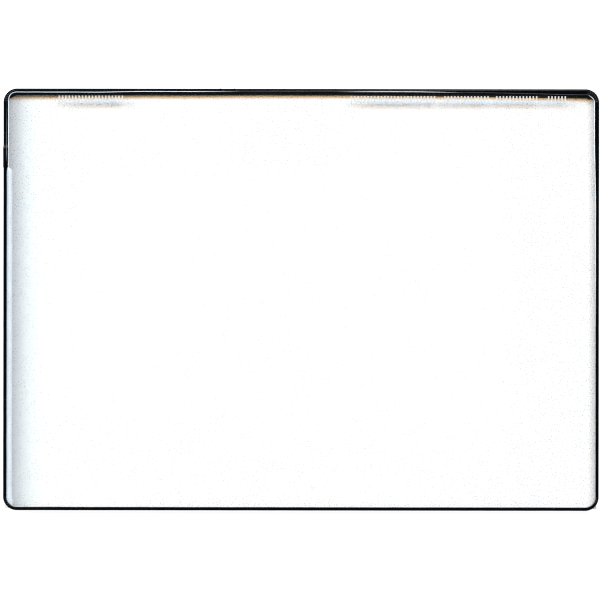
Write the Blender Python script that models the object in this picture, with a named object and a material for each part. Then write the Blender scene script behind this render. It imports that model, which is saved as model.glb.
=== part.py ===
"""Soft-effect camera filter, 4 x 5.65 inches, as it slides into a matte box tray.

Two glass plies are cemented around a speckled film and a lenslet film. One strip of black
tape is folded round the edge, and its end laps over its start on the left side.

Units are metres. +Z runs up through the thickness, +X along the long side and +Y towards the
marked edge. The origin is under the middle of the filter, level with its lowest point.
"""

import math

import bmesh
import bpy

MM = 0.001

# Outside size, over the tape
LENGTH = 143.5 * MM
WIDTH = 101.6 * MM
THICKNESS = 4.0 * MM
CORNER_RADIUS = 3.3 * MM

# Layers of the laminate: cement lies on both sides of each film
CEMENT = 0.11 * MM
FILM = 0.125 * MM
CONTACT_GAP = 0.02 * MM
ARRIS = 0.3 * MM

# Edge tape. A lip is the part of the strip that lies on a face, measured from the outer edge.
TAPE = 0.12 * MM
SHOULDER_RADIUS = 0.4 * MM
LIP = 0.74 * MM
FRONT_LIP_LEFT = 0.97 * MM
FRONT_LIP_RIGHT = 1.03 * MM
REAR_LIP_TOP = 1.57 * MM
REAR_LIP_TOP_RIGHT = 2.2 * MM
REAR_LIP_WIDENS = 60.0 * MM

# Places along the sides, measured down from the top edge
TAPE_START = 15.5 * MM
TAPE_END = 18.5 * MM
LAP_RISE = 1.0 * MM
TAPER_START = 10.5 * MM
TAPER_END = 29.0 * MM

CORNER_SEGMENTS = 12
SHOULDER_SEGMENTS = 4
SMOOTH_ANGLE = math.radians(30)
WELD_DISTANCE = 0.002 * MM

# Worked out from the dimensions above
HALF = THICKNESS / 2
WRAP = TAPE + CONTACT_GAP
GLASS = (THICKNESS - 2 * WRAP - 3 * CEMENT - 2 * FILM - 6 * CONTACT_GAP) / 2
LAP_SCALE = (HALF + CONTACT_GAP) / (HALF - TAPE)
MIDDLE_Z = HALF * LAP_SCALE
CUTTER_HALF = HALF
CUTTER_LIFT = 1.2 * HALF
TOP_Y = WIDTH / 2

GLASS_TINT = (0.93, 0.97, 0.96, 0.3)
CEMENT_TINT = (0.95, 0.96, 0.93, 0.25)
FILM_TINT = (0.82, 0.84, 0.86, 0.3)
LENSLET_TINT = (0.90, 0.92, 0.94, 0.25)
TAPE_BLACK = (0.012, 0.013, 0.014, 1.0)


def clear_scene():
    for obj in list(bpy.data.objects):
        bpy.data.objects.remove(obj, do_unlink=True)


def new_collection(name):
    collection = bpy.data.collections.new(name)
    bpy.context.scene.collection.children.link(collection)
    return collection


def finish_material(name, colour, roughness, transmission):
    material = bpy.data.materials.new(name)
    material.use_nodes = True
    material.diffuse_color = colour
    shader = material.node_tree.nodes["Principled BSDF"]
    shader.inputs["Base Color"].default_value = colour
    shader.inputs["Roughness"].default_value = roughness
    shader.inputs["Metallic"].default_value = 0.0
    shader.inputs["Transmission Weight"].default_value = transmission
    return material


def shade(mesh, material):
    mesh.materials.append(material)
    mesh.shade_smooth()
    mesh.set_sharp_from_angle(angle=SMOOTH_ANGLE)


def upright_edges(solid):
    """The edges along Z, at the corners of the outline."""
    return [edge for edge in solid.edges if edge.verts[0].co.xy == edge.verts[1].co.xy]


def rim_edges(solid, side):
    """The edges round the face that looks up (side 1) or down (side -1)."""
    face = max(solid.faces, key=lambda each: side * each.calc_center_median().z)
    return list(face.edges)


def add_layer(collection, name, bottom, thickness, material, arris_side=0):
    """One flat layer of the laminate, with round corners and, on a glass ply, an outer arris."""
    solid = bmesh.new()
    bmesh.ops.create_cube(solid, size=1.0)
    size = (LENGTH - 2 * WRAP, WIDTH - 2 * WRAP, thickness)
    bmesh.ops.scale(solid, vec=size, verts=solid.verts)
    bmesh.ops.bevel(
        solid,
        geom=upright_edges(solid),
        offset=CORNER_RADIUS - WRAP,
        segments=CORNER_SEGMENTS,
        profile=0.5,
        affect="EDGES",
    )
    if arris_side:
        bmesh.ops.bevel(
            solid,
            geom=rim_edges(solid, arris_side),
            offset=ARRIS,
            segments=1,
            affect="EDGES",
        )
    mesh = bpy.data.meshes.new(name)
    solid.to_mesh(mesh)
    solid.free()
    shade(mesh, material)
    layer = bpy.data.objects.new(name, mesh)
    layer.location = (0.0, 0.0, bottom + thickness / 2)
    collection.objects.link(layer)
    return layer


def add_laminate(collection):
    """The seven layers, stacked upwards from the rear face."""
    glass = finish_material("clear_glass", GLASS_TINT, 0.03, 1.0)
    cement = finish_material("optical_cement", CEMENT_TINT, 0.1, 0.9)
    speckled = finish_material("speckled_film", FILM_TINT, 0.35, 0.8)
    lenslets = finish_material("lenslet_film", LENSLET_TINT, 0.25, 0.85)
    stack = (
        ("rear_glass", GLASS, glass, -1),
        ("rear_cement", CEMENT, cement, 0),
        ("lenslet_film", FILM, lenslets, 0),
        ("middle_cement", CEMENT, cement, 0),
        ("speckled_film", FILM, speckled, 0),
        ("front_cement", CEMENT, cement, 0),
        ("front_glass", GLASS, glass, 1),
    )
    bottom = MIDDLE_Z - HALF + WRAP
    for name, thickness, material, arris_side in stack:
        add_layer(collection, name, bottom, thickness, material, arris_side)
        bottom += thickness + CONTACT_GAP


def arc(centre, radius, start, end, segments):
    """Points along an arc, with its angles in degrees."""
    points = []
    for step in range(segments + 1):
        angle = math.radians(start + (end - start) * step / segments)
        points.append((centre[0] + radius * math.cos(angle), centre[1] + radius * math.sin(angle)))
    return points


def tape_section():
    """The folded strip's section about the middle of the filter's edge, open on its -X side.

    Both lips are as wide as they get anywhere, and are trimmed afterwards.
    """
    centre = HALF - SHOULDER_RADIUS
    front_end = HALF - FRONT_LIP_RIGHT
    rear_end = HALF - REAR_LIP_TOP_RIGHT
    inner_radius = SHOULDER_RADIUS - TAPE
    outside = [(front_end, HALF)]
    outside += arc((centre, centre), SHOULDER_RADIUS, 90, 0, SHOULDER_SEGMENTS)
    outside += arc((centre, -centre), SHOULDER_RADIUS, 0, -90, SHOULDER_SEGMENTS)
    outside += [(rear_end, -HALF)]
    inside = [(rear_end, TAPE - HALF)]
    inside += arc((centre, -centre), inner_radius, -90, 0, SHOULDER_SEGMENTS)
    inside += arc((centre, centre), inner_radius, 0, 90, SHOULDER_SEGMENTS)
    inside += [(front_end, HALF - TAPE)]
    return outside + inside


def tape_route():
    """Points (x, y, scale) along the strip, anticlockwise from its start on the left side.

    The route keeps half a thickness inside the edge, so that scaling the section about it
    lifts the lapped end by the same amount off the side and off both faces.
    """
    x = LENGTH / 2 - HALF
    y = WIDTH / 2 - HALF
    radius = CORNER_RADIUS - HALF
    corners = (
        ((radius - x, radius - y), 180),
        ((x - radius, radius - y), 270),
        ((x - radius, y - radius), 0),
        ((radius - x, y - radius), 90),
    )
    route = [(-x, TOP_Y - TAPE_START, 1.0)]
    for centre, start in corners:
        turn = arc(centre, radius, start, start + 90, CORNER_SEGMENTS)
        route += [(px, py, 1.0) for px, py in turn]
    route.append((-x, TOP_Y - TAPE_START + 2 * LAP_RISE, 1.0))
    route.append((-x, TOP_Y - TAPE_START + LAP_RISE, LAP_SCALE))
    route.append((-x, TOP_Y - TAPE_END, LAP_SCALE))
    return route


def poly_curve(name, points, cyclic):
    """A curve object of straight segments through points (x, y) or (x, y, scale)."""
    data = bpy.data.curves.new(name, "CURVE")
    spline = data.splines.new("POLY")
    spline.points.add(len(points) - 1)
    for place, values in zip(spline.points, points):
        place.co = (values[0], values[1], 0.0, 1.0)
        place.radius = values[2] if len(values) > 2 else 1.0
    spline.use_cyclic_u = cyclic
    curve = bpy.data.objects.new(name, data)
    bpy.context.scene.collection.objects.link(curve)
    return curve


def mesh_from_curve(curve, name):
    """The curve's shape as a mesh in world space, with its loose caps welded."""
    bpy.context.view_layer.update()
    graph = bpy.context.evaluated_depsgraph_get()
    mesh = bpy.data.meshes.new_from_object(curve.evaluated_get(graph))
    mesh.name = name
    mesh.transform(curve.matrix_world)
    mesh.materials.clear()
    welded = bmesh.new()
    welded.from_mesh(mesh)
    bmesh.ops.remove_doubles(welded, verts=welded.verts, dist=WELD_DISTANCE)
    bmesh.ops.recalc_face_normals(welded, faces=welded.faces)
    welded.to_mesh(mesh)
    welded.free()
    bpy.data.objects.remove(curve, do_unlink=True)
    return mesh


def lower_corners(lip):
    """The two lower corners of a window this far inside the edge, anticlockwise."""
    side = LENGTH / 2 - lip
    radius = CORNER_RADIUS - lip
    low = lip - WIDTH / 2 + radius
    corners = arc((radius - side, low), radius, 180, 270, CORNER_SEGMENTS)
    corners += arc((side - radius, low), radius, 270, 360, CORNER_SEGMENTS)
    return corners


def upper_corner(lip_beside, lip_above, side):
    """An upper corner of a window, on the right (side 1) or the left (side -1), anticlockwise."""
    radius = CORNER_RADIUS - lip_beside
    centre = (side * (LENGTH / 2 - CORNER_RADIUS), TOP_Y - lip_above - radius)
    start = 0 if side > 0 else 90
    return arc(centre, radius, start, start + 90, CORNER_SEGMENTS)


def front_window():
    """The glass left open in front.

    The lip steps in on the left side, just below the tape's end, and tapers on the right side.
    """
    step_y = TOP_Y - TAPE_END - TAPE
    outline = [(LIP - LENGTH / 2, step_y)]
    outline += lower_corners(LIP)
    outline += [(LENGTH / 2 - LIP, TOP_Y - TAPER_END)]
    outline += [(LENGTH / 2 - FRONT_LIP_RIGHT, TOP_Y - TAPER_START)]
    outline += upper_corner(FRONT_LIP_RIGHT, FRONT_LIP_RIGHT, 1)
    outline += upper_corner(FRONT_LIP_LEFT, LIP, -1)
    outline += [(FRONT_LIP_LEFT - LENGTH / 2, step_y)]
    return outline


def rear_window():
    """The glass left open behind, where the lip is wider along the top and at its right end."""
    outline = lower_corners(LIP)
    outline += upper_corner(LIP, REAR_LIP_TOP_RIGHT, 1)
    outline += [(LENGTH / 2 - REAR_LIP_WIDENS, TOP_Y - REAR_LIP_TOP)]
    outline += upper_corner(LIP, REAR_LIP_TOP, -1)
    return outline


def add_lip_cutter(cutters, name, outline, side):
    """A block over one window that trims the lip in front (side 1) or behind (side -1)."""
    block = poly_curve(name + "_outline", outline, cyclic=True)
    block.data.dimensions = "2D"
    block.data.fill_mode = "BOTH"
    block.data.extrude = CUTTER_HALF
    block.location.z = MIDDLE_Z + side * CUTTER_LIFT
    cutter = bpy.data.objects.new(name, mesh_from_curve(block, name))
    cutter.hide_render = True
    cutter.display_type = "WIRE"
    cutters.objects.link(cutter)
    return cutter


def trim_lip(tape, cutter):
    trim = tape.modifiers.new(cutter.name, "BOOLEAN")
    trim.operation = "DIFFERENCE"
    trim.solver = "EXACT"
    trim.object = cutter


def add_edge_tape(collection, cutters):
    section = poly_curve("tape_section", tape_section(), cyclic=True)
    section.data.dimensions = "2D"
    strip = poly_curve("tape_route", tape_route(), cyclic=False)
    strip.data.dimensions = "3D"
    strip.data.twist_mode = "Z_UP"
    strip.data.bevel_mode = "OBJECT"
    strip.data.bevel_object = section
    strip.data.use_fill_caps = True
    strip.location.z = MIDDLE_Z
    mesh = mesh_from_curve(strip, "edge_tape")
    bpy.data.objects.remove(section, do_unlink=True)
    shade(mesh, finish_material("black_tape", TAPE_BLACK, 0.35, 0.0))
    tape = bpy.data.objects.new("edge_tape", mesh)
    collection.objects.link(tape)
    trim_lip(tape, add_lip_cutter(cutters, "front_window", front_window(), 1))
    trim_lip(tape, add_lip_cutter(cutters, "rear_window", rear_window(), -1))


def main():
    clear_scene()
    parts = new_collection("soft_effect_filter")
    cutters = new_collection("cutters")
    add_laminate(parts)
    add_edge_tape(parts, cutters)


main()
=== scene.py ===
"""Looks for a laminated glass soft-effect filter with a taped edge, seen flat from straight above."""

import math

import bmesh
import bpy
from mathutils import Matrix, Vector, noise


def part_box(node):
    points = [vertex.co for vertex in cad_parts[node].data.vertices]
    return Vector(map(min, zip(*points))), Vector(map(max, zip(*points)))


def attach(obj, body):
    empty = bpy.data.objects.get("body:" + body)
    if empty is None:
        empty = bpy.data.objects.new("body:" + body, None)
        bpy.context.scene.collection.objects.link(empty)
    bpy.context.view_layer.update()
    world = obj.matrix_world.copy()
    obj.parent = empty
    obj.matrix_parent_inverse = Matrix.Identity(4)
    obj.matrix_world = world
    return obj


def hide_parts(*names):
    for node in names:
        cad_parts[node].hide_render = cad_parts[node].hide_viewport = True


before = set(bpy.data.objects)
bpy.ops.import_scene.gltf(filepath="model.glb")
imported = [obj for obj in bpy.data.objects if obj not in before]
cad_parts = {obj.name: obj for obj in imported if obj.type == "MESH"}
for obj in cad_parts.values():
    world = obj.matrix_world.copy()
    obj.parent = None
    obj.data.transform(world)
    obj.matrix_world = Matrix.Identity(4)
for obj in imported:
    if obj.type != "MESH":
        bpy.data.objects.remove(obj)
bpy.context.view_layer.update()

MM = 0.001

# Places read from the frame. The tape's lap stands proud of the left side and of both faces,
# so the strip's plain sides are taken from the right and the top.
TAPE_LOW, TAPE_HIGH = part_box("edge_tape")
FRONT_LOW, FRONT_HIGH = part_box("front_glass")
REAR_LOW, REAR_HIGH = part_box("rear_glass")
SPECKLED_LOW, SPECKLED_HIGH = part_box("speckled_film")
LENSLET_LOW, LENSLET_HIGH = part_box("lenslet_film")
SIDE_X = TAPE_HIGH.x
SIDE_Y = TAPE_HIGH.y
MIDDLE_Z = (TAPE_LOW.z + TAPE_HIGH.z) / 2

# Edge tape
HALF_THICKNESS = 2.0 * MM
CORNER_RADIUS = 3.3 * MM
TAPE = 0.08 * MM
LAP_GAP = 0.01 * MM
SHOULDER_RADIUS = 0.4 * MM
SHOULDER_STEPS, INNER_STEPS = 7, 3  # round a shoulder, outside and on the stuck side
FACE_STEPS, REAR_STEPS = 12, 6  # across the front lip and the rear lip
LIP = 0.74 * MM
FRONT_LIP_LEFT = 1.09 * MM
FRONT_LIP_RIGHT = 1.03 * MM
FRONT_LIP_TOP_RIGHT = 1.25 * MM
# Along the marked edge the rear lip is widened into a black band, seen through the glass, that is partly
# painted shadow of the lamps; at the upper corners it fills in as painted shade.
REAR_LIP_AND_SHADOW_TOP = 1.45 * MM
REAR_LIP_AND_SHADOW_TOP_RIGHT = 2.05 * MM
REAR_SHADOW_WIDENS_X = 12.0 * MM
CORNER_SHADE_FILL = 0.1 * MM
TAPE_START = 15.5 * MM
TAPE_END = 19.0 * MM
LAP_RISE = 1.0 * MM
TAPER_START = 10.5 * MM
TAPER_END = 29.0 * MM
LAP_SCALE = (HALF_THICKNESS + LAP_GAP) / (HALF_THICKNESS - TAPE)
STATION_STEP = 0.7 * MM
FINE_STEP = 0.12 * MM
CORNER_STATIONS = 96
PLEATS = 8
PLEAT_HEIGHT = 0.07 * MM
PLEAT_SCALLOP = 0.05 * MM
PLEAT_SHARPNESS = 3
PLEAT_AT_SHOULDER = 0.25
UNEVENNESS = 0.012 * MM
UNEVEN_PATCH = 2.2 * MM
EDGE_WANDER = 0.03 * MM
WANDER_PATCH = 4.5 * MM
WRINKLES_X = (-19.5 * MM, -16.1 * MM)
WRINKLE_HEIGHT = 0.06 * MM
WRINKLE_WIDTH = 0.16 * MM
WRINKLE_SLANT = 0.8
WRINKLE_MARGINS = (1.8 * MM, 1.2 * MM)
FRONT_LIP_WAIST = 0.57 * MM
WAIST_NARROWS = (-50 * MM, -38 * MM)
WAIST_WIDENS = (28 * MM, 40 * MM)
# The crease is shaped in the tape; the grey line painted along it is a painted highlight.
CREASE_INSET = 0.72 * MM
CREASE_WIDTH = 0.06 * MM
CREASE_HEIGHT = 0.03 * MM

# Sealer run along the front lip: a fine bead that spreads wide on the left side below the lap
# Its whitish cover is painted highlight: the bright line along the lip's cut edge, and on the left a
# painted brightening over the shade beside the lip.
BEAD_RADIUS = 0.1 * MM
BEAD_SPREAD = 0.75 * MM
BEAD_LOWNESS = 0.35
HIGHLIGHT_LEFT_FADES = (-28 * MM, -14 * MM)
HIGHLIGHT_RIGHT_RISES = (8 * MM, 20 * MM)
HIGHLIGHT_RIGHT_FADES = (27 * MM, 39 * MM)
HIGHLIGHT_SIDE_FADES = 10 * MM

# Effect layers: the specks are thin flakes of about this size, at least this far apart.
SPECK_MARGIN = 0.9 * MM
LENSLET_MARGIN = 3.8 * MM
GRAIN_SIZE = 0.22 * MM
GRAIN_DISTANCE = 0.5 * MM
LENSLET_RADIUS = 0.7 * MM
LENSLET_CROWN = 0.045 * MM
LENSLET_COLUMNS = 37
LENSLET_ROWS = 26
LENSLET_STRAY = 0.15 * MM
GRAIN_SEED, LENSLET_SEED = 5, 8

# Marks on the front glass: where each group of ruled ticks starts, and how many ticks it has.
MARK_TOP = 1.7 * MM
MARK_LIFT = 0.002 * MM
TICK_PITCH = 0.8 * MM
TICK_LONG = 1.9 * MM
TICK_SHORT = 1.35 * MM
TICK_LINE = 0.34 * MM
TICK_DEPTH = 0.02 * MM
TICK_GROUPS = ((-58.5 * MM, 20), (11.9 * MM, 26), (34.4 * MM, 14), (46.9 * MM, 13), (59.4 * MM, 6))
TICKS_PER_LONG = 5

# Materials
USUAL_NOISE = (0.3, 0.7)  # where nearly all values of smooth noise lie
GLASS_INDEX = 1.52
GLASS_TINT = (0.985, 0.987, 0.987)
SPECKLED_TINT = (0.990, 0.990, 0.991)
LENSLET_TINT = (0.990, 0.991, 0.991)
CEMENT_TINT = (0.999, 0.999, 0.998)
TAPE_BLACK, TAPE_RUBBED = (0.0004, 0.0008, 0.0014), (0.0035, 0.0045, 0.0055)
# Grey painted along the tape's crease: a painted highlight.
TAPE_CREASE_HIGHLIGHT = (0.16, 0.17, 0.175)

# Floor, camera and lamps
FLOOR_HALF = 3.0
VIEW_WIDTH = 144.54 * MM
CAMERA_DISTANCE = 1.5
CAMERA_OFFSET = Vector((-0.27 * MM, -0.065 * MM, 0.0))
CAMERA_ROLL = math.radians(0.08)
SENSOR_WIDTH = 36.0
LAMP_HEIGHT = 3.0
BACKING, SURROUND = 0.82, 0.12  # how much light the floor returns under the filter and round it
SURROUND_GLOW = 0.96
ROOM_COLOUR, ROOM_LIGHT = (0.4, 0.72, 1.0), 0.12
WARM, COOL = Vector((1.0, 0.64, 0.25)), Vector((0.235, 0.6, 1.0))
COOL_SHARE = 1.28
# The lamps' places are shares of their height, to the sides of the filter's middle and past it.
WARM_ROW, COOL_ROW = (0.22, 0.35), (0.35, 0.48)
FILL = ((-0.6, 0.5), (-0.3, -0.22), (0.9, 0.96, 1.0), 9.0)
LAMP_LENGTHS = (
    ("right", (0.0, 0.42), Vector((1.0, 0.94, 0.93)), 126.0),
    ("middle", (-0.5, 0.0), Vector((0.84, 0.94, 1.0)), 51.0),
    ("left", (-1.35, -0.5), Vector((1.0, 1.0, 0.87)), 113.0),
    ("far", (-2.7, -1.35), Vector((1.0, 0.47, 0.35)), 220.0),
)


def smooth(low, high, value):
    """0 below low, 1 above high, and a smooth rise between them."""
    share = min(1.0, max(0.0, (value - low) / (high - low)))
    return share * share * (3 - 2 * share)


def blend(low, high, share):
    return low + (high - low) * share


# ---------------------------------------------------------------- building blocks


def add_piece(name, mesh):
    piece = bpy.data.objects.new(name, mesh)
    bpy.context.scene.collection.objects.link(piece)
    return piece


def piece_from(shape, name, material, sharp_degrees):
    """Turns a bmesh into a piece with one material, smooth but for its sharp edges."""
    mesh = bpy.data.meshes.new(name)
    shape.to_mesh(mesh)
    shape.free()
    mesh.materials.append(material)
    mesh.shade_smooth()
    mesh.set_sharp_from_angle(angle=math.radians(sharp_degrees))
    return add_piece(name, mesh)


class NodeTree:
    """Adds nodes to a tree and links them in one step."""

    def __init__(self, tree):
        self.tree = tree

    def node(self, kind, links=None, **settings):
        """Adds a node. links gives an input, by name or number, a socket or a plain value."""
        made = self.tree.nodes.new(kind)
        for key, value in settings.items():
            setattr(made, key, value)
        for key, value in (links or {}).items():
            if isinstance(value, bpy.types.NodeSocket):
                self.tree.links.new(value, made.inputs[key])
            else:
                made.inputs[key].default_value = value
        return made

    def maths(self, operation, first, second=0.0):
        return self.node("ShaderNodeMath", {0: first, 1: second}, operation=operation).outputs[0]

    def vector(self, x=0.0, y=0.0, z=0.0):
        return self.node("ShaderNodeCombineXYZ", {"X": x, "Y": y, "Z": z}).outputs[0]


class Shaping(NodeTree):
    """A Geometry Nodes tree with named inputs for its sizes."""

    def __init__(self, name):
        super().__init__(bpy.data.node_groups.new(name, "GeometryNodeTree"))
        sockets = self.tree.interface
        sockets.new_socket("Geometry", in_out="INPUT", socket_type="NodeSocketGeometry")
        sockets.new_socket("Geometry", in_out="OUTPUT", socket_type="NodeSocketGeometry")
        self.start = self.tree.nodes.new("NodeGroupInput")
        self.end = self.tree.nodes.new("NodeGroupOutput")

    def given(self, name, kind="Float"):
        self.tree.interface.new_socket(name, in_out="INPUT", socket_type="NodeSocket" + kind)
        return self.start.outputs[name]

    def moved(self, geometry, by):
        return self.node("GeometryNodeTransform", {"Geometry": geometry, "Translation": by}).outputs[0]

    def random_vector(self, low, high, seed):
        links = {0: low, 1: high, "Seed": seed}
        return self.node("FunctionNodeRandomValue", links, data_type="FLOAT_VECTOR").outputs[0]

    def copies(self, points, shape, scale, rotation=(0.0, 0.0, 0.0)):
        links = {"Points": points, "Instance": shape, "Scale": scale, "Rotation": rotation}
        return self.node("GeometryNodeInstanceOnPoints", links).outputs[0]

    def finish(self, geometry):
        """Ends the tree in Realize Instances and Set Material."""
        real = self.node("GeometryNodeRealizeInstances", {"Geometry": geometry}).outputs[0]
        links = {"Geometry": real, "Material": self.given("Material", "Material")}
        self.tree.links.new(self.node("GeometryNodeSetMaterial", links).outputs[0], self.end.inputs[0])
        return self.tree


def shape_piece(name, tree, values, base=None):
    """Runs a Geometry Nodes tree on a base mesh and keeps the result as a plain mesh piece."""
    host = add_piece(name + "_host", base or bpy.data.meshes.new(name + "_base"))
    modifier = host.modifiers.new(name, "NODES")
    modifier.node_group = tree
    for socket in tree.interface.items_tree:
        if socket.in_out == "INPUT" and socket.name in values:
            modifier[socket.identifier] = values[socket.name]
    bpy.context.view_layer.update()
    evaluated = host.evaluated_get(bpy.context.evaluated_depsgraph_get())
    mesh = bpy.data.meshes.new_from_object(evaluated)
    bpy.data.objects.remove(host, do_unlink=True)
    mesh.name = name
    return add_piece(name, mesh)


class Finish(NodeTree):
    """A material under construction on the piece's own coordinates."""

    def __init__(self, name):
        self.material = bpy.data.materials.new(name)
        self.material.use_nodes = True
        super().__init__(self.material.node_tree)
        self.tree.nodes.clear()
        self.output = self.tree.nodes.new("ShaderNodeOutputMaterial")
        self.place = self.node("ShaderNodeTexCoord").outputs["Object"]

    def noise(self, size, detail=2.0, stretch=(1.0, 1.0, 1.0)):
        """Smooth noise whose patches measure about this size."""
        scale = tuple(axis / size for axis in stretch)
        at = self.node("ShaderNodeMapping", {"Vector": self.place, "Scale": scale}).outputs[0]
        links = {"Vector": at, "Scale": 1.0, "Detail": detail}
        return self.node("ShaderNodeTexNoise", links).outputs["Fac"]

    def spread(self, value, low, high, to_low, to_high):
        """Maps a range of values to another, held at its ends."""
        links = {"Value": value, "From Min": low, "From Max": high, "To Min": to_low, "To Max": to_high}
        return self.node("ShaderNodeMapRange", links).outputs["Result"]

    def patches(self, size, low, high, detail=2.0):
        """Noise over its usual range, mapped to values from low to high."""
        return self.spread(self.noise(size, detail), *USUAL_NOISE, low, high)

    def colour(self, share, first, second):
        """A colour between two, by a share from 0 to 1."""
        ramp = self.node("ShaderNodeValToRGB", {"Fac": share})
        ramp.color_ramp.elements[0].color = (*first, 1.0)
        ramp.color_ramp.elements[1].color = (*second, 1.0)
        return ramp.outputs["Color"]

    def tint(self, share, first, second):
        """A mix of two colours, of which either may be a socket."""
        return self.node("ShaderNodeMix", {0: share, 6: first, 7: second}, data_type="RGBA").outputs[2]

    def bump(self, height, distance, strength=1.0):
        links = {"Height": height, "Distance": distance, "Strength": strength}
        return self.node("ShaderNodeBump", links).outputs["Normal"]

    def shader(self, kind, links):
        return self.node("ShaderNodeBsdf" + kind, links).outputs[0]

    def mix(self, share, first, second):
        return self.node("ShaderNodeMixShader", {0: share, 1: first, 2: second}).outputs[0]

    def outer_face(self, middle, faces_up):
        """1 on the polished face that meets the air, as seen from the air, and 0 elsewhere."""
        height = self.node("ShaderNodeSeparateXYZ", {"Vector": self.place}).outputs["Z"]
        outer = self.maths("GREATER_THAN" if faces_up else "LESS_THAN", height, middle)
        inside = self.node("ShaderNodeNewGeometry").outputs["Backfacing"]
        return self.maths("MULTIPLY", outer, self.maths("SUBTRACT", 1.0, inside))

    def finish(self, shader):
        self.tree.links.new(shader, self.output.inputs["Surface"])
        return self.material


# ---------------------------------------------------------------- finishes


def black_tape_finish():
    """Deep black film tape: glossy, finely pebbled, with dust and wear where hands and trays rub it, and
    a grey painted highlight along its crease.
    """
    f = Finish("black_tape")
    cloud = f.noise(3.5 * MM, 2.0)
    scuff = f.noise(0.35 * MM, 3.0, stretch=(0.25, 1.0, 1.0))
    wear = f.node("ShaderNodeAttribute", attribute_name="wear").outputs["Fac"]
    crease_highlight = f.node("ShaderNodeAttribute", attribute_name="crease_highlight").outputs["Fac"]
    rubbed = f.maths("MULTIPLY", wear, f.spread(scuff, 0.5, 0.72, 0.0, 1.0))
    tone = f.maths("ADD", f.maths("MULTIPLY", cloud, 0.35), f.maths("MULTIPLY", rubbed, 0.65))
    rough = f.maths("ADD", f.spread(cloud, *USUAL_NOISE, 0.08, 0.12), f.maths("MULTIPLY", rubbed, 0.12))
    black = f.colour(tone, TAPE_BLACK, TAPE_RUBBED)
    # A grey line painted along the crease stands in for the highlight the crease catches.
    cover = f.maths("MULTIPLY", crease_highlight, f.spread(scuff, 0.3, 0.6, 0.5, 1.0))
    links = {
        "Base Color": f.tint(cover, black, (*TAPE_CREASE_HIGHLIGHT, 1.0)),
        "Roughness": rough,
        "Specular IOR Level": 0.06,
        "Normal": f.bump(scuff, 0.003 * MM),
    }
    return f.finish(f.shader("Principled", links))


def glass_finish(name, middle, faces_up):
    """A water-white ply: clear, mirroring only on its polished outer face, faintly smeared there."""
    f = Finish(name)
    outer = f.outer_face(middle, faces_up)
    fresnel = f.node("ShaderNodeFresnel", {"IOR": GLASS_INDEX}).outputs[0]
    wave = f.bump(f.noise(14.0 * MM, 1.0), 0.02 * MM, 0.4)
    clear = f.shader("Transparent", {"Color": (*GLASS_TINT, 1.0)})
    mirror = f.shader("Glossy", {"Color": (1.0, 1.0, 1.0, 1.0), "Roughness": 0.02, "Normal": wave})
    polished = f.mix(f.maths("MULTIPLY", outer, fresnel), clear, mirror)
    smear = f.spread(f.noise(9.0 * MM, 4.0, stretch=(1.0, 0.45, 1.0)), 0.45, 0.75, 0.0, 0.002)
    dust = f.spread(f.noise(0.3 * MM, 1.0), 0.76, 0.82, 0.0, 0.05)
    haze = f.maths("MULTIPLY", outer, f.maths("ADD", smear, dust))
    film = f.shader("Diffuse", {"Color": (0.85, 0.87, 0.88, 1.0)})
    return f.finish(f.mix(haze, polished, film))


def clear_layer_finish(name, tint, haze, patch):
    """A clear layer inside the laminate, with an uneven faint haze and no mirror of its own."""
    f = Finish(name)
    clear = f.shader("Transparent", {"Color": (*tint, 1.0)})
    milk = f.shader("Diffuse", {"Color": (0.86, 0.88, 0.9, 1.0)})
    share = f.spread(f.noise(patch, 4.0), 0.3, 0.75, 0.0, haze)
    return f.finish(f.mix(share, clear, milk))


def grain_finish():
    """Thin dark carbon flakes, smoky rather than solid, some paler than others."""
    f = Finish("speck_grains")
    tone = f.noise(1.7 * MM, 0.0)
    cover = f.patches(0.9 * MM, 0.04, 0.14)
    clear = f.shader("Transparent", {"Color": (0.97, 0.98, 0.98, 1.0)})
    links = {
        "Base Color": f.colour(tone, (0.02, 0.02, 0.022), (0.22, 0.22, 0.23)),
        "Roughness": f.patches(0.4 * MM, 0.5, 0.9),
    }
    return f.finish(f.mix(cover, clear, f.shader("Principled", links)))


def lenslet_finish():
    """Clear moulded lenslets that pass nearly all light and catch a faint sheen at their rims."""
    f = Finish("lenslets")
    clear = f.shader("Transparent", {"Color": (0.99, 0.992, 0.994, 1.0)})
    sheen = f.shader("Glossy", {"Color": (0.9, 0.95, 1.0, 1.0), "Roughness": 0.25})
    rim = f.node("ShaderNodeLayerWeight", {"Blend": 0.15}).outputs["Fresnel"]
    share = f.maths("MULTIPLY", rim, f.patches(2.5 * MM, 0.02, 0.08))
    return f.finish(f.mix(share, clear, sheen))


def enamel_finish():
    """Thin frosted enamel marks, slightly uneven in cover."""
    f = Finish("frosted_enamel")
    cover = f.patches(0.35 * MM, 0.72, 1.0, 3.0)
    clear = f.shader("Transparent", {"Color": (0.92, 0.93, 0.93, 1.0)})
    links = {
        "Base Color": f.colour(f.noise(0.8 * MM), (0.4, 0.41, 0.4), (0.58, 0.59, 0.58)),
        "Roughness": 0.55,
        "Normal": f.bump(f.noise(0.06 * MM), 0.004 * MM),
    }
    return f.finish(f.mix(cover, clear, f.shader("Principled", links)))


def sealer_highlight_finish():
    """Clear sealer whose whitish cover is painted highlight, stronger in some places, feathering out
    where it has spread.
    """
    f = Finish("sealer")
    painted_highlight = f.node("ShaderNodeAttribute", attribute_name="painted_highlight").outputs["Fac"]
    across = f.node("ShaderNodeAttribute", attribute_name="across").outputs["Fac"]
    feather = f.spread(f.maths("ABSOLUTE", across), 0.1, 1.0, 1.0, 0.3)
    cover = f.maths("MULTIPLY", f.maths("MULTIPLY", painted_highlight, feather), f.patches(5.0 * MM, 0.75, 1.0))
    clear = f.shader("Transparent", {"Color": (0.97, 0.98, 0.99, 1.0)})
    links = {
        # The bluish white is the tint of the painted highlight.
        "Base Color": (0.74, 0.84, 0.92, 1.0),
        "Roughness": f.patches(0.5 * MM, 0.3, 0.5),
        "Specular IOR Level": 0.3,
    }
    return f.finish(f.mix(cover, clear, f.shader("Principled", links)))


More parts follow.
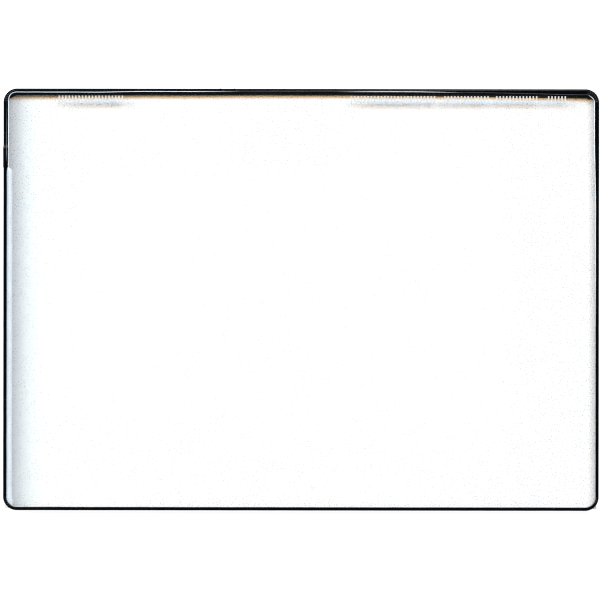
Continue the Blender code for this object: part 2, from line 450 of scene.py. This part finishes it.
def floor_finish():
    """Plain white backing. Its surround glows a little, so the filter's own shadow stays faint."""
    f = Finish("white_backing")
    axes = f.node("ShaderNodeSeparateXYZ", {"Vector": f.place}).outputs
    past_x = f.maths("GREATER_THAN", f.maths("ABSOLUTE", axes["X"]), SIDE_X - LIP / 2)
    past_y = f.maths("GREATER_THAN", f.maths("ABSOLUTE", axes["Y"]), SIDE_Y - LIP / 2)
    surround = f.maths("MAXIMUM", past_x, past_y)
    tooth = f.patches(1.5 * MM, 0.97, 1.0, 3.0)
    shade = f.maths("MULTIPLY", tooth, f.spread(surround, 0.0, 1.0, BACKING, SURROUND))
    links = {
        "Base Color": shade,
        "Roughness": 0.9,
        "Emission Color": (1.0, 1.0, 1.0, 1.0),
        "Emission Strength": f.maths("MULTIPLY", surround, SURROUND_GLOW),
    }
    return f.finish(f.shader("Principled", links))


# ---------------------------------------------------------------- the strip of edge tape


def straight(start, end, out, step=STATION_STEP):
    """Stations (place, outward direction, share of the way round a corner or None)."""
    start, end = Vector(start), Vector(end)
    count = max(2, round((end - start).length / step))
    return [(start.lerp(end, i / count), Vector(out), None) for i in range(count)]


def round_corner(side_x, side_y, start_degrees):
    """Stations round one corner, anticlockwise. side_x and side_y say which corner, as 1 or -1."""
    centre = Vector((side_x * (SIDE_X - CORNER_RADIUS), side_y * (SIDE_Y - CORNER_RADIUS)))
    stations = []
    for i in range(CORNER_STATIONS):
        share = i / CORNER_STATIONS
        angle = math.radians(start_degrees + 90 * share)
        out = Vector((math.cos(angle), math.sin(angle)))
        stations.append((centre + out * CORNER_RADIUS, out, share))
    return stations


def tape_route():
    """Stations along the strip's outer side, anticlockwise from its start on the left side."""
    x, y, r = SIDE_X, SIDE_Y, CORNER_RADIUS
    fine_left = min(WRINKLES_X) - WRINKLE_MARGINS[0]
    fine_right = max(WRINKLES_X) + WRINKLE_MARGINS[1]
    route = straight((-x, y - TAPE_START), (-x, r - y), (-1, 0))
    route += round_corner(-1, -1, 180)
    route += straight((r - x, -y), (x - r, -y), (0, -1))
    route += round_corner(1, -1, 270)
    route += straight((x, r - y), (x, y - r), (1, 0))
    route += round_corner(1, 1, 0)
    route += straight((x - r, y), (fine_right, y), (0, 1))
    route += straight((fine_right, y), (fine_left, y), (0, 1), FINE_STEP)
    route += straight((fine_left, y), (r - x, y), (0, 1))
    route += round_corner(-1, 1, 90)
    route += straight((-x, y - r), (-x, y - TAPE_START + 3 * LAP_RISE), (-1, 0))
    route += straight((-x, y - TAPE_START + 3 * LAP_RISE), (-x, y - TAPE_END), (-1, 0), FINE_STEP)
    route.append((Vector((-x, y - TAPE_END)), Vector((-1, 0)), None))
    return route


def upward(out):
    """0 where the strip faces sideways or down, and 1 where it faces the marked edge."""
    return smooth(0.1, 0.9, out.y)


def wander(place, lane):
    """Slight wandering of a cut edge."""
    return EDGE_WANDER * noise.noise(Vector((place.x, place.y, lane * 100 * MM)) / WANDER_PATCH)


def front_lip(place, out, on_end):
    """Width of the lip in front: wide at both upper corners, narrow along the marked edge between."""
    if place.x < 0:
        beside = FRONT_LIP_LEFT if on_end else LIP
    else:
        beside = blend(FRONT_LIP_RIGHT, LIP, smooth(TAPER_START, TAPER_END, SIDE_Y - place.y))
    waist = smooth(*WAIST_NARROWS, place.x) - smooth(*WAIST_WIDENS, place.x)
    above = LIP - (LIP - FRONT_LIP_WAIST) * waist
    above += (FRONT_LIP_TOP_RIGHT - LIP) * smooth(WAIST_WIDENS[1], SIDE_X, place.x)
    return blend(beside, above, upward(out)) + wander(place, 1)


def rear_lip_with_painted_shadow(place, out):
    """Width of the lip behind: along the marked edge it is widened into a black band that is partly
    painted shadow, and it fills the corners beside it as painted shade.
    """
    above = blend(REAR_LIP_AND_SHADOW_TOP, REAR_LIP_AND_SHADOW_TOP_RIGHT, smooth(REAR_SHADOW_WIDENS_X, SIDE_X, place.x))
    in_corner = max(0.0, 2 * abs(out.x) * out.y) ** 2
    return blend(LIP, above, upward(out)) + CORNER_SHADE_FILL * in_corner + wander(place, 2)


def pleat(share):
    """Height of a corner's pleats at a share of the way round it: narrow ridges between flats."""
    if share is None:
        return 0.0
    return abs(math.sin(math.pi * PLEATS * share)) ** PLEAT_SHARPNESS * math.sin(math.pi * share) ** 0.5


def wrinkle(place, out, inset):
    """Two small slanting wrinkles across the marked edge."""
    if out.y < 0.99:
        return 0.0
    offsets = ((place.x - x - inset * WRINKLE_SLANT) / WRINKLE_WIDTH for x in WRINKLES_X)
    return WRINKLE_HEIGHT * sum(math.exp(-offset * offset) for offset in offsets)


def crease(place, inset, height, on_end):
    """A fine lengthwise crease in the front lip on the left side, above the lap."""
    if not on_end or place.x > 0 or height < 0:
        return 0.0
    down = SIDE_Y - place.y
    strength = smooth(0.1 * TAPE_START, TAPE_START, down)
    strength *= 1 - smooth(TAPE_START, TAPE_END - LAP_RISE, down)
    offset = (inset - CREASE_INSET) / CREASE_WIDTH
    return CREASE_HEIGHT * strength * math.exp(-offset * offset)


def shoulder(face, start, end, radius, steps):
    """Section points (inset, height, tilt) round a shoulder.

    Tilt is 0 on the side of the filter, 1 on its front face and -1 on its rear face.
    """
    points = []
    for i in range(steps + 1):
        angle = math.radians(blend(start, end, i / steps))
        inset = SHOULDER_RADIUS - radius * math.sin(angle)
        height = face * (HALF_THICKNESS - SHOULDER_RADIUS + radius * math.cos(angle))
        points.append((inset, height, face * math.cos(angle)))
    return points


def tape_section(front, rear):
    """The strip's closed section, from the front lip's cut edge outwards, round and back inside.

    Each point is (inset, height, tilt), and tilt is None on the surface that is stuck down.
    """
    top, below, rounding = HALF_THICKNESS, HALF_THICKNESS - TAPE, TAPE / 4
    front_edge, rear_edge = front - rounding, rear - rounding
    points = [(front, below, None), (front, top - rounding, 1.0)]
    inwards = [blend(front_edge, SHOULDER_RADIUS, i / FACE_STEPS) for i in range(FACE_STEPS)]
    points += [(inset, top, 1.0) for inset in inwards]
    points += shoulder(1, 0, 90, SHOULDER_RADIUS, SHOULDER_STEPS)
    points += [(0.0, (top - SHOULDER_RADIUS) * (1 - i / 3), 0.0) for i in range(1, 6)]
    points += shoulder(-1, 90, 0, SHOULDER_RADIUS, SHOULDER_STEPS)
    inwards = [blend(SHOULDER_RADIUS, rear_edge, (i + 1) / REAR_STEPS) for i in range(REAR_STEPS)]
    points += [(inset, -top, -1.0) for inset in inwards]
    points += [(rear, rounding - top, -1.0), (rear, -below, None)]
    inner = SHOULDER_RADIUS - TAPE
    stuck = shoulder(-1, 0, 90, inner, INNER_STEPS) + shoulder(1, 90, 0, inner, INNER_STEPS)
    points += [(inset, height, None) for inset, height, tilt in stuck]
    return points


def tape_point(station, point, scale, width, on_end):
    """Where a section point lies at a station, how worn it is and how strong the painted highlight along
    its crease is.
    """
    place, out, share = station
    inset, height, tilt = point
    reach = min(1.0, max(0.0, inset / width))
    inset -= HALF_THICKNESS * (scale - 1) * (1 - reach)
    height *= scale
    worn = creased = 0.0
    if tilt is not None:
        unevenness = UNEVENNESS * noise.noise(Vector((place.x, place.y, height)) / UNEVEN_PATCH)
        fold = PLEAT_HEIGHT * pleat(share) * blend(PLEAT_AT_SHOULDER, 1.0, reach)
        creased = crease(place, inset, height, on_end)
        lift = unevenness + fold + wrinkle(place, out, inset) + creased
        height += lift * tilt
        inset -= lift * (1 - abs(tilt))
        worn = max(4 * abs(tilt) * (1 - abs(tilt)), smooth(0.85, 1.0, reach), fold / PLEAT_HEIGHT)
    at = place - out * inset
    return Vector((at.x, at.y, MIDDLE_Z + height)), worn, creased / CREASE_HEIGHT


def lap_scale(place, on_end):
    """The strip's end rises over its start on the left side."""
    if not on_end or place.x > 0:
        return 1.0
    risen = smooth(TAPE_START - 2 * LAP_RISE, TAPE_START - LAP_RISE, SIDE_Y - place.y)
    return blend(1.0, LAP_SCALE, risen)


def fold_edge_tape(material):
    """The strip as one closed mesh: its section lofted along the route, with flat cut ends."""
    route = tape_route()
    strip = bmesh.new()
    wear = strip.verts.layers.float.new("wear")
    crease_highlight = strip.verts.layers.float.new("crease_highlight")
    rings = []
    for index, station in enumerate(route):
        place, out, share = station
        on_end = index > len(route) / 2
        scallop = PLEAT_SCALLOP * pleat(share)
        front = front_lip(place, out, on_end) - scallop
        rear = rear_lip_with_painted_shadow(place, out) - scallop
        ring = []
        for point in tape_section(front, rear):
            width = front if point[1] > 0 else rear
            at, worn, creased = tape_point(station, point, lap_scale(place, on_end), width, on_end)
            vertex = strip.verts.new(at)
            vertex[wear], vertex[crease_highlight] = worn, creased
            ring.append(vertex)
        rings.append(ring)
    count = len(rings[0])
    for ring, following in zip(rings, rings[1:]):
        for i in range(count):
            j = (i + 1) % count
            strip.faces.new((ring[i], ring[j], following[j], following[i]))
    strip.faces.new(rings[0])
    strip.faces.new(reversed(rings[-1]))
    bmesh.ops.recalc_face_normals(strip, faces=strip.faces)
    return piece_from(strip, "edge_tape_folded", material, sharp_degrees=50)


# ---------------------------------------------------------------- sealer bead


def sealer_spread_and_highlight(place, out, on_end):
    """How far the sealer spreads, from 0 to 1, and how strong its painted highlight is, at a place on
    the lip.
    """
    beside = smooth(0.3, 0.9, abs(out.x))
    spread = beside if place.x < 0 and not on_end else 0.0
    if place.x < 0:
        highlight_beside = 1.0 if on_end else 0.38
    else:
        highlight_beside = blend(0.7, 0.25, smooth(-HIGHLIGHT_SIDE_FADES, HIGHLIGHT_SIDE_FADES, -place.y))
    at_left = 1 - smooth(*HIGHLIGHT_LEFT_FADES, place.x)
    at_right = smooth(*HIGHLIGHT_RIGHT_RISES, place.x) * (1 - smooth(*HIGHLIGHT_RIGHT_FADES, place.x))
    # Painted highlight along the strip: strongest at the left end of the marked edge and in a stretch
    # right of its middle, faint elsewhere.
    along = 0.15 if out.y < 0 else 0.75 * at_left + 0.7 * at_right + 0.03
    painted_highlight = blend(along, highlight_beside, beside)
    return spread, painted_highlight


def bead_path():
    """A closed line of edges just inside the front lip's cut edge, which steps in at the lap's end."""
    route = tape_route()
    half = len(route) // 2
    below_lap = [s for s in route[:half] if s[0].x > 0 or s[0].y < SIDE_Y - TAPE_END - FINE_STEP]
    points, swell, painted_highlight = [], [], []
    for on_end, stations in ((False, below_lap), (True, route[half:])):
        for place, out, share in stations:
            spread, highlight_strength = sealer_spread_and_highlight(place, out, on_end)
            radius = blend(BEAD_RADIUS, BEAD_SPREAD, spread)
            inset = front_lip(place, out, on_end) - PLEAT_SCALLOP * pleat(share) + radius
            at = place - out * inset
            points.append((at.x, at.y, FRONT_HIGH.z + BEAD_RADIUS * BEAD_LOWNESS))
            swell.append(radius)
            painted_highlight.append(highlight_strength)
    mesh = bpy.data.meshes.new("bead_path")
    mesh.from_pydata(points, [(i, (i + 1) % len(points)) for i in range(len(points))], [])
    # Each point carries the bead's width and the strength of its painted highlight.
    for name, values in (("swell", swell), ("painted_highlight", painted_highlight)):
        mesh.attributes.new(name, "FLOAT", "POINT").data.foreach_set("value", values)
    return mesh


def bead_tree():
    """A low bead that follows a line of edges lying flat, as wide as the line's swell says."""
    t = Shaping("sealer bead")
    height = t.given("Height")
    path = t.node("GeometryNodeMeshToCurve", {"Mesh": t.start.outputs["Geometry"]}).outputs[0]
    level = t.node("GeometryNodeSetCurveNormal", {"Curve": path}, mode="Z_UP").outputs[0]
    swell = t.node("GeometryNodeInputNamedAttribute", {"Name": "swell"}, data_type="FLOAT").outputs[0]
    circle = t.node("GeometryNodeCurvePrimitiveCircle", {"Resolution": 12, "Radius": 1.0}).outputs[0]
    place = t.node("GeometryNodeInputPosition").outputs[0]
    axes = t.node("ShaderNodeSeparateXYZ", {"Vector": place}).outputs
    links = {"Geometry": circle, "Name": "across", "Value": axes["X"]}
    profile = t.node("GeometryNodeStoreNamedAttribute", links, data_type="FLOAT").outputs[0]
    links = {"Curve": level, "Profile Curve": profile, "Scale": swell}
    swept = t.node("GeometryNodeCurveToMesh", links).outputs[0]
    middle = t.given("Middle Height")
    lowness = t.maths("DIVIDE", height, swell)
    low = t.maths("ADD", middle, t.maths("MULTIPLY", t.maths("SUBTRACT", axes["Z"], middle), lowness))
    links = {"Geometry": swept, "Position": t.vector(axes["X"], axes["Y"], low)}
    pressed = t.node("GeometryNodeSetPosition", links).outputs[0]
    return t.finish(t.node("GeometryNodeSetShadeSmooth", {"Geometry": pressed}).outputs[0])


def run_sealer_bead(material):
    height = BEAD_RADIUS * BEAD_LOWNESS
    values = {"Height": height, "Middle Height": FRONT_HIGH.z + height, "Material": material}
    return shape_piece("sealer_bead", bead_tree(), values, bead_path())


# ---------------------------------------------------------------- effect layers


def grain_tree():
    """Flat flakes scattered evenly through a film, each turned and sized at random."""
    t = Shaping("speck scatter")
    length, width, height = t.given("Film Length"), t.given("Film Width"), t.given("Film Middle")
    size, apart, seed = t.given("Grain Size"), t.given("Least Distance"), t.given("Seed", "Int")
    links = {"Size X": length, "Size Y": width, "Vertices X": 2, "Vertices Y": 2}
    film = t.node("GeometryNodeMeshGrid", links).outputs[0]
    crowd = t.maths("DIVIDE", 1.0, t.maths("MULTIPLY", apart, apart))
    links = {"Mesh": film, "Distance Min": apart, "Density Max": crowd, "Seed": seed}
    places = t.node("GeometryNodeDistributePointsOnFaces", links, distribute_method="POISSON").outputs[0]
    small, big, thick = (t.maths("MULTIPLY", size, share) for share in (0.5, 1.5, 0.2))
    scale = t.random_vector(t.vector(small, small, thick), t.vector(big, big, thick), seed)
    turn = t.random_vector((0.0, 0.0, 0.0), (0.15, 0.15, math.tau), seed)
    links = {"Vertices": 5, "Radius Top": 0.0, "Radius Bottom": 0.6, "Depth": 1.0}
    grain = t.node("GeometryNodeMeshCone", links).outputs[0]
    return t.finish(t.moved(t.copies(places, grain, scale, turn), t.vector(z=height)))


def scatter_grains(material):
    values = {
        "Film Length": 2 * (SPECKLED_HIGH.x - SPECK_MARGIN),
        "Film Width": 2 * (SPECKLED_HIGH.y - SPECK_MARGIN),
        "Film Middle": (SPECKLED_LOW.z + SPECKLED_HIGH.z) / 2,
        "Grain Size": GRAIN_SIZE,
        "Least Distance": GRAIN_DISTANCE,
        "Seed": GRAIN_SEED,
        "Material": material,
    }
    return shape_piece("speck_grains", grain_tree(), values)


def lenslet_tree():
    """Low round lenslets in staggered rows on a film, each slightly off its place and size."""
    t = Shaping("lenslet rows")
    length, width, height = t.given("Field Length"), t.given("Field Width"), t.given("Film Top")
    columns, rows = t.given("Columns", "Int"), t.given("Rows", "Int")
    radius, crown = t.given("Lenslet Radius"), t.given("Crown")
    stray, seed = t.given("Stray"), t.given("Seed", "Int")
    links = {"Size X": length, "Size Y": width, "Vertices X": columns, "Vertices Y": rows}
    even = t.node("GeometryNodeMeshGrid", links).outputs[0]
    half_x = t.maths("DIVIDE", t.maths("MULTIPLY", length, 0.5), t.maths("SUBTRACT", columns, 1.0))
    half_y = t.maths("DIVIDE", t.maths("MULTIPLY", width, 0.5), t.maths("SUBTRACT", rows, 1.0))
    both = t.node("GeometryNodeJoinGeometry")
    for geometry in (even, t.moved(even, t.vector(half_x, half_y))):
        t.tree.links.new(geometry, both.inputs[0])
    back = t.maths("MULTIPLY", stray, -1.0)
    off = t.random_vector(t.vector(back, back), t.vector(stray, stray), seed)
    places = t.node("GeometryNodeSetPosition", {"Geometry": both.outputs[0], "Offset": off}).outputs[0]
    bead = t.node("GeometryNodeMeshUVSphere", {"Segments": 10, "Rings": 5, "Radius": 1.0}).outputs[0]
    small, big = t.maths("MULTIPLY", radius, 0.8), t.maths("MULTIPLY", radius, 1.15)
    scale = t.random_vector(t.vector(small, small, crown), t.vector(big, big, crown), seed)
    low_beads = t.copies(places, bead, scale)
    return t.finish(t.moved(low_beads, t.vector(z=height)))


def raise_lenslets(material):
    values = {
        "Field Length": 2 * (LENSLET_HIGH.x - LENSLET_MARGIN),
        "Field Width": 2 * (LENSLET_HIGH.y - LENSLET_MARGIN),
        "Film Top": LENSLET_HIGH.z,
        "Columns": LENSLET_COLUMNS,
        "Rows": LENSLET_ROWS,
        "Lenslet Radius": LENSLET_RADIUS,
        "Crown": LENSLET_CROWN,
        "Stray": LENSLET_STRAY,
        "Seed": LENSLET_SEED,
        "Material": material,
    }
    return shape_piece("lenslets", lenslet_tree(), values)


# ---------------------------------------------------------------- marks


def tick_tree():
    """A row of ruled ticks like a scale's, where every few ticks one is longer."""
    t = Shaping("ruled ticks")
    count, pitch, every = t.given("Ticks", "Int"), t.given("Pitch"), t.given("Long Every", "Int")
    line, depth = t.given("Line Width"), t.given("Depth")
    short, long = t.given("Short Tick"), t.given("Long Tick")
    links = {"Count": count, "Start Location": t.given("Start", "Vector"), "Offset": t.vector(pitch)}
    places = t.node("GeometryNodeMeshLine", links, mode="OFFSET").outputs[0]
    index = t.node("GeometryNodeInputIndex").outputs[0]
    is_long = t.maths("LESS_THAN", t.maths("MODULO", index, every), 0.5)
    tall = t.maths("ADD", short, t.maths("MULTIPLY", is_long, t.maths("SUBTRACT", long, short)))
    bar = t.node("GeometryNodeMeshCube", {"Size": (1.0, 1.0, 1.0)}).outputs[0]
    hung = t.moved(bar, (0.5, -0.5, 0.5))
    return t.finish(t.copies(places, hung, t.vector(line, tall, depth)))


def rule_marks(material):
    """The marks, one group at a time, joined into one piece."""
    tree = tick_tree()
    marks = bmesh.new()
    for start, ticks in TICK_GROUPS:
        values = {
            "Ticks": ticks,
            "Pitch": TICK_PITCH,
            "Long Every": TICKS_PER_LONG,
            "Line Width": TICK_LINE,
            "Depth": TICK_DEPTH,
            "Short Tick": TICK_SHORT,
            "Long Tick": TICK_LONG,
            "Start": (start, SIDE_Y - MARK_TOP, FRONT_HIGH.z + MARK_LIFT),
            "Material": material,
        }
        group = shape_piece("tick_group", tree, values)
        marks.from_mesh(group.data)
        bpy.data.objects.remove(group, do_unlink=True)
    return piece_from(marks, "ruled_marks", material, sharp_degrees=30)


# ---------------------------------------------------------------- assembly


def dress_nodes():
    """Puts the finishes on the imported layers, which keep their own shapes."""
    front_middle = (FRONT_LOW.z + FRONT_HIGH.z) / 2
    rear_middle = (REAR_LOW.z + REAR_HIGH.z) / 2
    finishes = {
        "front_glass": glass_finish("front_glass_polished", front_middle, True),
        "rear_glass": glass_finish("rear_glass_polished", rear_middle, False),
        "speckled_film": clear_layer_finish("speckled_film_clear", SPECKLED_TINT, 0.004, 1.1 * MM),
        "lenslet_film": clear_layer_finish("lenslet_film_clear", LENSLET_TINT, 0.003, 2.3 * MM),
    }
    cement = clear_layer_finish("clear_cement", CEMENT_TINT, 0.0008, 5.0 * MM)
    for node in ("front_cement", "middle_cement", "rear_cement"):
        finishes[node] = cement
    for node, finish in finishes.items():
        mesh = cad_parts[node].data
        if not mesh.materials:
            mesh.materials.append(finish)
        for index in range(len(mesh.materials)):
            mesh.materials[index] = finish


def build_pieces():
    tape = fold_edge_tape(black_tape_finish())
    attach(tape, "root")
    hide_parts("edge_tape")
    pieces = (
        (run_sealer_bead(sealer_highlight_finish()), "optical_cement"),
        (scatter_grains(grain_finish()), "speckled_film"),
        (raise_lenslets(lenslet_finish()), "lenslet_film"),
        (rule_marks(enamel_finish()), "clear_glass"),
    )
    for piece, slot in pieces:
        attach(piece, "root")


def lay_floor():
    sheet = bmesh.new()
    bmesh.ops.create_grid(sheet, x_segments=1, y_segments=1, size=FLOOR_HALF)
    piece_from(sheet, "white_backing", floor_finish(), sharp_degrees=30)


def add_lamp(name, x_range, y_range, colour, brightness, mirrored=True):
    """A flat lamp overhead. Its ranges are shares of the lamps' height, and it shines straight down."""
    length = (x_range[1] - x_range[0]) * LAMP_HEIGHT
    width = (y_range[1] - y_range[0]) * LAMP_HEIGHT
    light = bpy.data.lights.new(name, "AREA")
    light.shape = "RECTANGLE"
    light.size, light.size_y = length, width
    light.color = colour
    light.energy = brightness * length * width
    lamp = bpy.data.objects.new(name, light)
    bpy.context.scene.collection.objects.link(lamp)
    lamp.location = (sum(x_range) / 2 * LAMP_HEIGHT, sum(y_range) / 2 * LAMP_HEIGHT, LAMP_HEIGHT)
    lamp.visible_camera = False
    lamp.visible_glossy = mirrored


def light_scene():
    """Long lamps past the marked edge, warm ones nearer and cool ones further out, in four lengths."""
    for side, along, tint, level in LAMP_LENGTHS:
        near = side != "far"
        add_lamp(side + "_warm_lamp", along, WARM_ROW, WARM * tint, level, near)
        add_lamp(side + "_cool_lamp", along, COOL_ROW, COOL * tint, level * COOL_SHARE, near)
    add_lamp("fill_lamp", *FILL)
    world = bpy.data.worlds.new("soft_room")
    world.use_nodes = True
    background = world.node_tree.nodes["Background"]
    background.inputs["Color"].default_value = (*ROOM_COLOUR, 1.0)
    background.inputs["Strength"].default_value = ROOM_LIGHT
    scene = bpy.context.scene
    scene.world = world
    scene.view_settings.view_transform = "Standard"
    scene.cycles.transparent_max_bounces = 40
    scene.cycles.filter_width = 1.1


def set_camera():
    lens = bpy.data.cameras.new("overhead")
    lens.sensor_width = SENSOR_WIDTH
    lens.lens = SENSOR_WIDTH * CAMERA_DISTANCE / VIEW_WIDTH
    camera = bpy.data.objects.new("overhead", lens)
    bpy.context.scene.collection.objects.link(camera)
    camera.location = CAMERA_OFFSET + Vector((0.0, 0.0, FRONT_HIGH.z + CAMERA_DISTANCE))
    camera.rotation_euler = (0.0, 0.0, CAMERA_ROLL)
    bpy.context.scene.camera = camera


dress_nodes()
build_pieces()
lay_floor()
light_scene()
set_camera()
